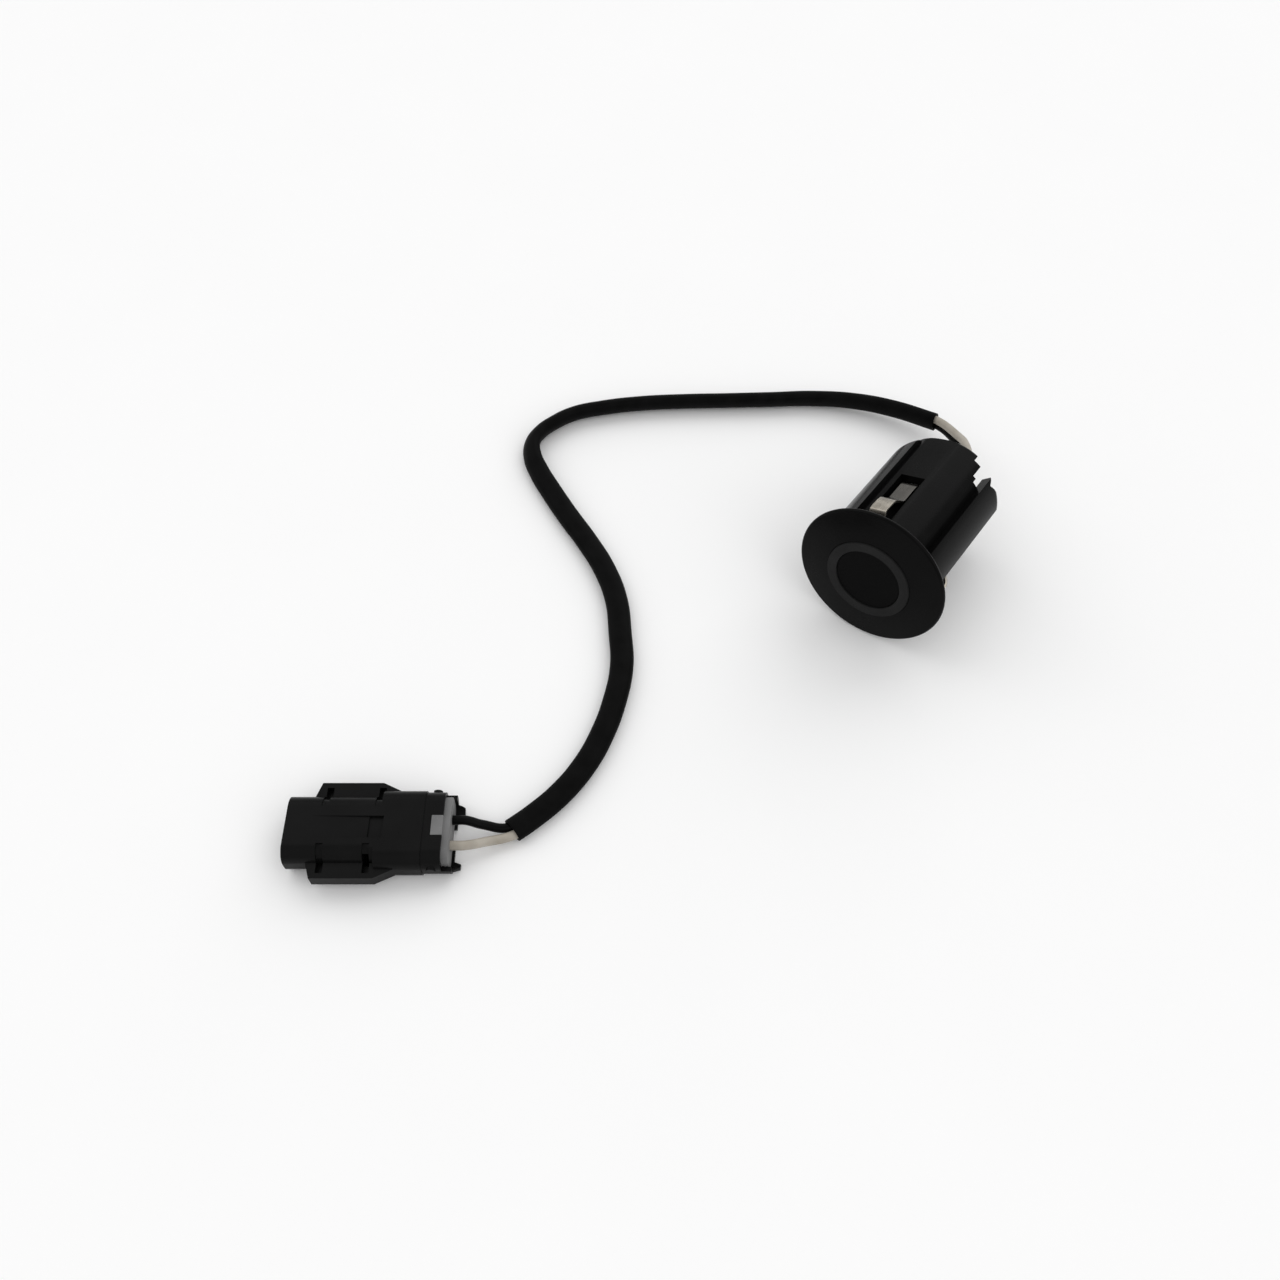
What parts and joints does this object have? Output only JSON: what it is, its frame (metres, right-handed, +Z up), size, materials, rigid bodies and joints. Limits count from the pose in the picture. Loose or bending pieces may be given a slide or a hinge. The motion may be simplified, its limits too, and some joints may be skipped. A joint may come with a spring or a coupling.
{
  "type": "parking sensor",
  "caption": "Ultrasonic parking sensor: round bezel with a sensing face, slotted sleeve with spring clips that snaps into a panel hole, short sleeved lead and sealed connector.",
  "frame": {"origin": "middle of the sensor's footprint on the table, below the sensor itself and without its lead", "axes": "+Z up, +Y from the sensing face towards the rear of the sensor, +X to the left when looking at the sensing face; the sensor lies on its bezel's edge and a wing, so its own axis dips a little towards the rear"},
  "size_m": [0.0819, 0.1322, 0.0249],
  "materials": {
    "bezel_plastic": "fine satin black",
    "housing_plastic": "satin black",
    "spring_steel": "bright rolled strip",
    "soft_ring": "soft matt dark grey",
    "coated_aluminium": "fine matt black paint",
    "ceramic": "fired ceramic, silvered",
    "foam": "closed-cell foam",
    "fine_wire": "tinned strand",
    "board": "coated laminate",
    "capacitor_case": "dipped",
    "resin": "cast resin, slightly glossy",
    "white_vinyl": "smooth off-white",
    "black_vinyl": "smooth black",
    "sleeve_vinyl": "soft satin black",
    "connector_plastic": "satin black",
    "retainer_plastic": "matt grey",
    "seal_rubber": "oiled silicone",
    "terminal_metal": "tin-plated brass"
  },
  "bodies": {
    "root": {"bezel_sleeve": "bezel_plastic", "sensor_housing": "housing_plastic", "spring_clip_1": "spring_steel", "spring_clip_2": "spring_steel", "spring_clip_3": "spring_steel", "decoupling_ring": "soft_ring", "transducer_cup": "coated_aluminium", "piezo_disc": "ceramic", "damping_foam": "foam", "piezo_lead_1": "fine_wire", "piezo_lead_2": "fine_wire", "terminal_board": "board", "tuning_capacitor": "capacitor_case", "potting": "resin", "white_wire": "white_vinyl", "black_wire": "black_vinyl", "cable_sleeve": "sleeve_vinyl", "plug_housing": "connector_plastic", "plug_retainer": "retainer_plastic", "wire_seal_1": "seal_rubber", "wire_seal_2": "seal_rubber", "terminal_pin_1": "terminal_metal", "terminal_pin_2": "terminal_metal"}
  },
  "joints": []
}
